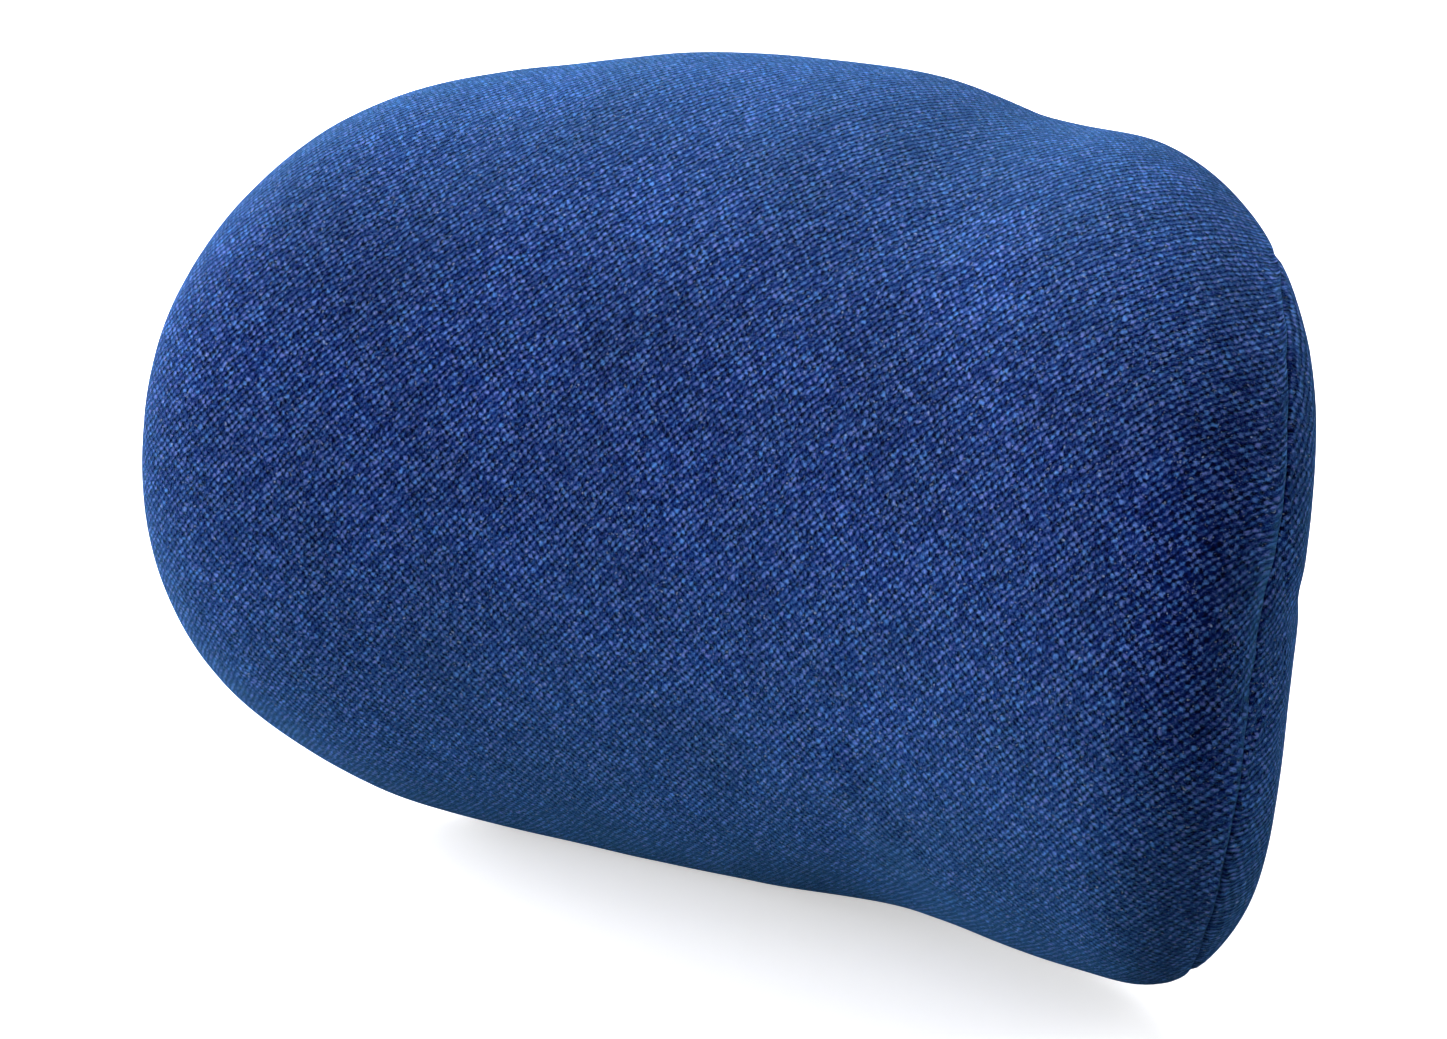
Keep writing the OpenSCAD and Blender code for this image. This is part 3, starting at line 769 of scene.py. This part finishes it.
class Graph:
    """A small helper that wires one material's nodes."""

    def __init__(self, name):
        self.material = bpy.data.materials.new(name)
        self.material.use_nodes = True
        self.tree = self.material.node_tree
        self.tree.nodes.clear()
        self.output = self.tree.nodes.new("ShaderNodeOutputMaterial")
        self.shader = self.tree.nodes.new("ShaderNodeBsdfPrincipled")
        self.join(self.shader.outputs[0], self.output.inputs["Surface"])

    def join(self, source, target):
        """Links a node's output to a socket, or sets the socket to a plain value."""
        if hasattr(source, "is_output"):
            self.tree.links.new(source, target)
        else:
            target.default_value = source

    def node(self, kind, settings=None, **inputs):
        made = self.tree.nodes.new("ShaderNode" + kind)
        for key, value in (settings or {}).items():
            setattr(made, key, value)
        for key, value in inputs.items():
            self.join(value, made.inputs[key.replace("_", " ")])
        return made

    def math(self, operation, a, b=0.0, c=0.0):
        made = self.tree.nodes.new("ShaderNodeMath")
        made.operation = operation
        for socket, value in zip(made.inputs, (a, b, c)):
            self.join(value, socket)
        return made.outputs[0]

    def vector(self, operation, a, b=(0, 0, 0), scale=None):
        made = self.tree.nodes.new("ShaderNodeVectorMath")
        made.operation = operation
        self.join(a, made.inputs[0])
        self.join(b, made.inputs[1])
        if scale is not None:
            self.join(scale, made.inputs["Scale"])
        return made.outputs[0]

    def noise(self, vector, scale, detail=2.0, roughness=0.5):
        made = self.tree.nodes.new("ShaderNodeTexNoise")
        self.join(vector, made.inputs["Vector"])
        made.inputs["Scale"].default_value = scale
        made.inputs["Detail"].default_value = detail
        made.inputs["Roughness"].default_value = roughness
        return made

    def span(self, value, low, high, to_low=0.0, to_high=1.0):
        """Maps low..high to to_low..to_high and holds the ends."""
        made = self.tree.nodes.new("ShaderNodeMapRange")
        made.clamp = True
        self.join(value, made.inputs["Value"])
        for key, number in (
            ("From Min", low),
            ("From Max", high),
            ("To Min", to_low),
            ("To Max", to_high),
        ):
            self.join(number, made.inputs[key])
        return made.outputs["Result"]

    def mix(self, factor, a, b, blend="MIX"):
        made = self.tree.nodes.new("ShaderNodeMix")
        made.data_type = "RGBA"
        made.blend_type = blend
        self.join(factor, made.inputs[0])
        self.join(a, made.inputs[6])
        self.join(b, made.inputs[7])
        return made.outputs[2]

    def ramp(self, factor, stops):
        made = self.tree.nodes.new("ShaderNodeValToRGB")
        self.join(factor, made.inputs["Fac"])
        elements = made.color_ramp.elements
        while len(elements) < len(stops):
            elements.new(0.5)
        for element, (place, colour) in zip(elements, stops):
            element.position = place
            element.color = (*colour, 1)
        return made.outputs["Color"]

    def bump(self, height, distance, strength=1.0, normal=None):
        made = self.tree.nodes.new("ShaderNodeBump")
        made.inputs["Strength"].default_value = strength
        made.inputs["Distance"].default_value = distance
        self.join(height, made.inputs["Height"])
        if normal is not None:
            self.join(normal, made.inputs["Normal"])
        return made.outputs["Normal"]

    def set(self, **inputs):
        """Sets or wires the shader's sockets."""
        for key, value in inputs.items():
            self.join(value, self.shader.inputs[key.replace("_", " ")])


def crepe_fabric(name, gap_painted_shade, thread, crown_and_painted_highlight, painted_glint, relief, fuzz):
    """Plain weave of crepe yarn: nodules in diagonal rows, gaps between, and a soft fuzz. Its colour follows the
    yarn's height: painted shade darkens the gaps and painted highlight lightens the crowns, over the yarn's own
    tone, with small painted glints.
    """
    g = Graph(name)
    weave = g.node("Attribute", {"attribute_name": "weave"}).outputs["Vector"]
    wander = g.noise(weave, STRAY_SCALE, 5.0, 0.90).outputs["Color"]
    wander = g.vector("SUBTRACT", wander, (0.5, 0.5, 0.5))
    wander = g.vector("SCALE", wander, scale=STRAY)
    threads = g.vector("ADD", weave, wander)
    parts = g.node("SeparateXYZ", Vector=threads)
    across = parts.outputs["X"]
    up = parts.outputs["Y"]
    along_row = g.math("COSINE", g.math("MULTIPLY", g.math("ADD", across, up), math.pi))
    beside_row = g.math("COSINE", g.math("MULTIPLY", g.math("SUBTRACT", across, up), math.pi))
    nodules = g.math("MULTIPLY_ADD", beside_row, ROW_HEIGHT, 0.5)
    nodules = g.math("MULTIPLY_ADD", along_row, NODULE_HEIGHT, nodules)
    cell = g.vector("FLOOR", g.vector("ADD", threads, (0.5, 0.5, 0.5)))
    lot = g.node("TexWhiteNoise", {"noise_dimensions": "3D"}, Vector=cell)
    chance = lot.outputs["Value"]
    dye = g.node("SeparateXYZ", Vector=lot.outputs["Color"]).outputs["Y"]
    fibres = g.noise(threads, FIBRE_SCALE, 3.0, 0.75).outputs["Fac"]
    height = g.math("MULTIPLY_ADD", fibres, FIBRE_HEIGHT, nodules)
    height = g.math("MULTIPLY_ADD", chance, LOT_HEIGHT, height)
    tone = g.math("MULTIPLY_ADD", chance, LOT_TONE, nodules)
    tone = g.math("MULTIPLY_ADD", g.span(fibres, 0.25, 0.75), FIBRE_TONE, tone)
    tone = g.span(tone, 0.40, 1.75)
    # The ramp paints shade into the low gaps and highlight onto the high crowns, besides the yarn's own tone
    colour = g.ramp(tone, [(0.12, gap_painted_shade), (0.48, thread), (0.95, crown_and_painted_highlight)])
    colour = g.mix(1.0, colour, g.ramp(dye, LOT_HUES), "MULTIPLY")
    place = g.node("TexCoord").outputs["Object"]
    patches = g.noise(place, PATCH_SCALE, 4.0, 0.65).outputs["Fac"]
    patches = g.span(patches, NOISE_LOW, NOISE_HIGH, 1 - PATCH_SPREAD, 1 + PATCH_SPREAD)
    colour = g.vector("SCALE", colour, scale=patches)
    # Painted glints: small highlights of the shiny yarn painted into the colour
    glint = g.span(g.noise(threads, PAINTED_GLINT_SCALE, 1.0).outputs["Fac"], 0.70, 0.74)
    colour = g.mix(glint, colour, (*painted_glint, 1.0))
    g.set(
        Base_Color=colour,
        Roughness=0.8,
        Specular_IOR_Level=0.04,
        Sheen_Weight=fuzz,
        Sheen_Roughness=0.25,
        Sheen_Tint=(0.13, 0.50, 1.0, 1.0),
        Normal=g.bump(height, relief),
    )
    return g.material


def rounded(g, radius=0.0004):
    """Normals of softly broken edges."""
    made = g.node("Bevel", {"samples": 4})
    made.inputs["Radius"].default_value = radius
    return made.outputs["Normal"]


def moulded(name, colour, roughness, grain=0.00003):
    """Moulded plastic or rubber: a fine spark-eroded grain and slightly uneven gloss."""
    g = Graph(name)
    place = g.node("TexCoord").outputs["Object"]
    fine = g.noise(place, 2600.0, 2.0).outputs["Fac"]
    broad = g.noise(place, 45.0, 3.0).outputs["Fac"]
    darker = tuple(0.82 * c for c in colour)
    lighter = tuple(min(1.0, 1.16 * c) for c in colour)
    g.set(
        Base_Color=g.ramp(g.span(broad, NOISE_LOW, NOISE_HIGH), [(0.0, darker), (1.0, lighter)]),
        Roughness=g.span(broad, NOISE_LOW, NOISE_HIGH, roughness - 0.05, roughness + 0.07),
        Normal=g.bump(fine, grain, 0.8, rounded(g)),
    )
    return g.material


def powder_coat(name, colour):
    """Powder-coated steel: satin, with a soft orange-peel surface."""
    g = Graph(name)
    place = g.node("TexCoord").outputs["Object"]
    peel = g.noise(place, 900.0, 1.0).outputs["Fac"]
    broad = g.noise(place, 30.0, 3.0).outputs["Fac"]
    lighter = tuple(1.25 * c for c in colour)
    g.set(
        Base_Color=g.ramp(broad, [(0.2, colour), (0.8, lighter)]),
        Roughness=g.span(broad, NOISE_LOW, NOISE_HIGH, 0.38, 0.50),
        Normal=g.bump(peel, 0.00008, 0.7, rounded(g)),
    )
    return g.material


def metal(name, colour, roughness, stretch=(1, 1, 1), grain_scale=900.0, relief=0.00001):
    """Bare or plated metal: a grain that stretch draws out into brushing, and uneven roughness."""
    g = Graph(name)
    place = g.node("TexCoord").outputs["Object"]
    drawn = g.vector("MULTIPLY", place, stretch)
    grain = g.noise(drawn, grain_scale, 3.0, 0.6).outputs["Fac"]
    stain = g.noise(place, 60.0, 4.0, 0.6).outputs["Fac"]
    darker = tuple(0.78 * c for c in colour)
    g.set(
        Base_Color=g.ramp(g.span(stain, NOISE_LOW, NOISE_HIGH), [(0.0, darker), (1.0, colour)]),
        Metallic=1.0,
        Roughness=g.span(grain, 0.25, 0.75, roughness - 0.08, roughness + 0.10),
        Normal=g.bump(grain, relief, 1.0, rounded(g, 0.0003)),
    )
    return g.material


def open_cell_foam(name):
    """Cream polyurethane foam: small open cells in a matte body."""
    g = Graph(name)
    place = g.node("TexCoord").outputs["Object"]
    cells = g.node("TexVoronoi", {"feature": "F1"}, Vector=place)
    cells.inputs["Scale"].default_value = 1100.0
    pores = cells.outputs["Distance"]
    broad = g.noise(place, 25.0, 3.0).outputs["Fac"]
    # Darker colour in the pores' hollows is painted shade; the broad noise is the foam's own uneven tone
    tone = g.math("MULTIPLY_ADD", broad, 0.5, g.math("MULTIPLY", pores, 0.5))
    g.set(
        Base_Color=g.ramp(tone, [(0.15, (0.50, 0.42, 0.22)), (0.6, (0.83, 0.75, 0.50))]),
        Roughness=0.95,
        Specular_IOR_Level=0.1,
        Normal=g.bump(pores, 0.0004, 0.8),
    )
    return g.material


def plywood(name):
    """Birch plywood: five plies across the board's thickness and a long grain on its faces."""
    g = Graph(name)
    place = g.node("TexCoord").outputs["Object"]
    turned = g.node("VectorRotate", {"rotation_type": "X_AXIS"}, Vector=place)
    turned.inputs["Angle"].default_value = LEAN
    board = turned.outputs["Vector"]
    ply = g.math("MULTIPLY", g.node("SeparateXYZ", Vector=board).outputs["Y"], 2 * math.pi / PLY_PAIR)
    ply = g.span(g.math("SINE", ply), -0.3, 0.3)
    grain = g.noise(g.vector("MULTIPLY", board, (0.06, 1.0, 1.0)), 700.0, 4.0, 0.6).outputs["Fac"]
    tone = g.math("MULTIPLY_ADD", grain, 0.6, g.math("MULTIPLY", ply, 0.35))
    g.set(
        Base_Color=g.ramp(tone, [(0.15, (0.33, 0.19, 0.09)), (0.8, (0.72, 0.54, 0.33))]),
        Roughness=g.span(grain, 0.2, 0.8, 0.5, 0.75),
        Normal=g.bump(grain, 0.00006, 0.8, rounded(g)),
    )
    return g.material


fabric = crepe_fabric(
    "crepe_blue",
    gap_painted_shade=(0.0, 0.0010, 0.034),
    thread=(0.0020, 0.0215, 0.235),
    crown_and_painted_highlight=(0.180, 0.360, 1.000),
    painted_glint=(0.520, 0.700, 0.960),
    relief=0.00055,
    fuzz=0.9,
)
zip_cloth = crepe_fabric(
    "zip_tape",
    gap_painted_shade=(0.004, 0.006, 0.020),
    thread=(0.012, 0.020, 0.060),
    crown_and_painted_highlight=(0.030, 0.045, 0.110),
    painted_glint=(0.060, 0.080, 0.140),
    relief=0.00010,
    fuzz=0.10,
)
foam_cream = open_cell_foam("open_cell_foam")

along_z = (1, 1, 0.03)
finishes = {
    "black_plastic": moulded("black_plastic", (0.028, 0.029, 0.031), 0.48),
    "knob_plastic": moulded("knob_plastic", (0.022, 0.022, 0.024), 0.36),
    "grey_plastic": moulded("grey_plastic", (0.20, 0.21, 0.22), 0.42),
    "glide_plastic": moulded("glide_plastic", (0.80, 0.79, 0.72), 0.38),
    "brake_rubber": moulded("brake_rubber", (0.26, 0.035, 0.028), 0.75, grain=0.00006),
    "painted_steel": powder_coat("painted_steel", (0.030, 0.031, 0.034)),
    "mast_steel": metal("mast_steel", (0.60, 0.60, 0.62), 0.30, along_z, 1500.0),
    "zinc_steel": metal("zinc_steel", (0.66, 0.67, 0.69), 0.32),
    "spring_steel": metal("spring_steel", (0.22, 0.22, 0.24), 0.35),
    "cast_aluminium": metal("cast_aluminium", (0.56, 0.57, 0.58), 0.45, relief=0.00005),
    "brass_insert": metal("brass_insert", (0.78, 0.57, 0.24), 0.30),
    "zip_metal": metal("zip_metal", (0.24, 0.25, 0.28), 0.33),
    "plywood": plywood("birch_plywood"),
    "foam": foam_cream,
    "cover_fabric": fabric,
    "zip_tape": zip_cloth,
}


def wear(piece, material):
    piece.data.materials.clear()
    piece.data.materials.append(material)


for part in frame["record"]["subparts"]:
    for held in frame["nodes"][part["node"]].material_slots:
        held.material = finishes[part["material_slot"]]

for piece, node, slot, fill in (
    (front_panel, "front_cover", "cover_fabric", 0.85),
    (back_panel, "back_cover", "cover_fabric", 0.85),
    (side_left, "side_cover_left", "cover_fabric", 0.85),
    (side_right, "side_cover_right", "cover_fabric", 0.85),
    (foam_pad, "foam_core", "foam", 0.9),
    (zip_strip, "cover_zip", "zip_tape", None),
):
    wear(piece, finishes[slot])
    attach(piece, "cushion")
    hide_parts(node)

# ---------- stage, camera and light ----------

VIEW_AZIMUTH = math.radians(33.76)
VIEW_ELEVATION = math.radians(16.98)
VIEW_DISTANCE = 0.9218
AIM_LEFT = 0.01679
AIM_DOWN = 0.00964
FOCAL_MM = 97.4
# The floor glows more from its near to its far distance, and reflects little onto the cushion
FLOOR_HALF_WIDTH = 6.0
FLOOR_GAP = 0.0004
FLOOR_GLOW = 0.53
FLOOR_BOUNCE = 0.26
FLOOR_NEAR = 0.20
FLOOR_FAR = 0.90
# The tent's darkest side, in degrees, and how its light falls off towards it
DARK_AZIMUTH = 55
DARK_ELEVATION = 5
DARK_FROM = -0.8
DARK_TO = 0.5
TENT_BRIGHT = 0.45
TENT_DARK = 0.02
LAMP_DISTANCE = 1.3
LAMP_HEIGHT = 0.9


def look_along(azimuth, elevation):
    """Right, up and back axes of a viewer at that azimuth and elevation."""
    right = Vector((math.cos(azimuth), math.sin(azimuth), 0))
    back = Vector(
        (
            math.sin(azimuth) * math.cos(elevation),
            -math.cos(azimuth) * math.cos(elevation),
            math.sin(elevation),
        )
    )
    return right, back.cross(right), back


def facing(place, right, up, back):
    """The matrix of a camera or lamp at a place, looking against its back axis."""
    return Matrix.Translation(place) @ Matrix((right, up, back)).transposed().to_4x4()


def make_camera():
    right, up, back = look_along(VIEW_AZIMUTH, VIEW_ELEVATION)
    aim = PAD_TO_ROW @ Vector((0, 0, 0)) - AIM_LEFT * right - AIM_DOWN * up
    data = bpy.data.cameras.new("camera")
    data.lens = FOCAL_MM
    data.sensor_width = 36
    camera = bpy.data.objects.new("camera", data)
    camera.matrix_world = facing(aim + VIEW_DISTANCE * back, right, up, back)
    bpy.context.scene.collection.objects.link(camera)
    bpy.context.scene.camera = camera


def make_floor():
    """White paper that catches the shadow; its glow is seen only by the camera."""
    size = FLOOR_HALF_WIDTH
    mesh = bpy.data.meshes.new("floor")
    corners = [(-size, -size, 0), (size, -size, 0), (size, size, 0), (-size, size, 0)]
    mesh.from_pydata(corners, [], [(0, 1, 2, 3)])
    floor = bpy.data.objects.new("floor", mesh)
    floor.location.z = cad_low.z - FLOOR_GAP
    bpy.context.scene.collection.objects.link(floor)
    g = Graph("floor_white")
    g.set(Base_Color=(FLOOR_BOUNCE, FLOOR_BOUNCE, FLOOR_BOUNCE, 1), Roughness=0.9, Specular_IOR_Level=0.1)
    seen = g.tree.nodes.new("ShaderNodeBsdfPrincipled")
    seen.inputs["Base Color"].default_value = (0.9, 0.9, 0.91, 1)
    seen.inputs["Roughness"].default_value = 0.9
    seen.inputs["Emission Color"].default_value = (1, 1, 1, 1)
    away = g.node("VectorMath", {"operation": "LENGTH"})
    g.join(g.node("TexCoord").outputs["Object"], away.inputs[0])
    glow = g.span(away.outputs["Value"], FLOOR_NEAR, FLOOR_FAR, FLOOR_GLOW, 1.0)
    g.join(glow, seen.inputs["Emission Strength"])
    either = g.tree.nodes.new("ShaderNodeMixShader")
    g.join(g.tree.nodes.new("ShaderNodeLightPath").outputs["Is Camera Ray"], either.inputs["Fac"])
    g.join(g.shader.outputs[0], either.inputs[1])
    g.join(seen.outputs[0], either.inputs[2])
    g.join(either.outputs[0], g.output.inputs["Surface"])
    wear(floor, g.material)


def softbox(name, azimuth, elevation, width, power):
    """A rectangular lamp that points at the cushion from that side."""
    right, up, back = look_along(math.radians(azimuth), math.radians(elevation))
    data = bpy.data.lights.new(name, "AREA")
    data.shape = "RECTANGLE"
    data.size = width
    data.size_y = LAMP_HEIGHT
    data.energy = power
    lamp = bpy.data.objects.new(name, data)
    centre = PAD_TO_ROW @ Vector((0, 0, 0))
    lamp.matrix_world = facing(centre + LAMP_DISTANCE * back, right, up, back)
    bpy.context.scene.collection.objects.link(lamp)


def make_light():
    """A light tent, darker on the viewer's side, with four softboxes and a white backdrop."""
    world = bpy.data.worlds.new("studio")
    world.use_nodes = True
    tree = world.node_tree
    background = tree.nodes["Background"]
    background.inputs["Color"].default_value = (1, 1, 1, 1)
    direction = tree.nodes.new("ShaderNodeTexCoord").outputs["Generated"]
    towards = tree.nodes.new("ShaderNodeVectorMath")
    towards.operation = "DOT_PRODUCT"
    tree.links.new(direction, towards.inputs[0])
    darkest = look_along(math.radians(DARK_AZIMUTH), math.radians(DARK_ELEVATION))[2]
    towards.inputs[1].default_value = darkest
    strength = tree.nodes.new("ShaderNodeMapRange")
    strength.interpolation_type = "SMOOTHSTEP"
    strength.inputs["From Min"].default_value = DARK_FROM
    strength.inputs["From Max"].default_value = DARK_TO
    strength.inputs["To Min"].default_value = TENT_BRIGHT
    strength.inputs["To Max"].default_value = TENT_DARK
    tree.links.new(towards.outputs["Value"], strength.inputs["Value"])
    tree.links.new(strength.outputs["Result"], background.inputs["Strength"])
    paper = tree.nodes.new("ShaderNodeBackground")
    paper.inputs["Color"].default_value = (1, 1, 1, 1)
    either = tree.nodes.new("ShaderNodeMixShader")
    straight = tree.nodes.new("ShaderNodeLightPath").outputs["Is Camera Ray"]
    tree.links.new(straight, either.inputs["Fac"])
    tree.links.new(background.outputs[0], either.inputs[1])
    tree.links.new(paper.outputs[0], either.inputs[2])
    tree.links.new(either.outputs[0], tree.nodes["World Output"].inputs["Surface"])
    bpy.context.scene.world = world
    softbox("key_light", azimuth=-51, elevation=8, width=1.0, power=19)
    softbox("left_light", azimuth=-88, elevation=22, width=0.9, power=27)
    softbox("right_light", azimuth=112, elevation=25, width=0.9, power=6)
    softbox("back_light", azimuth=200, elevation=51, width=1.2, power=23)
    bpy.context.scene.view_settings.view_transform = "Standard"


make_camera()
make_floor()
make_light()
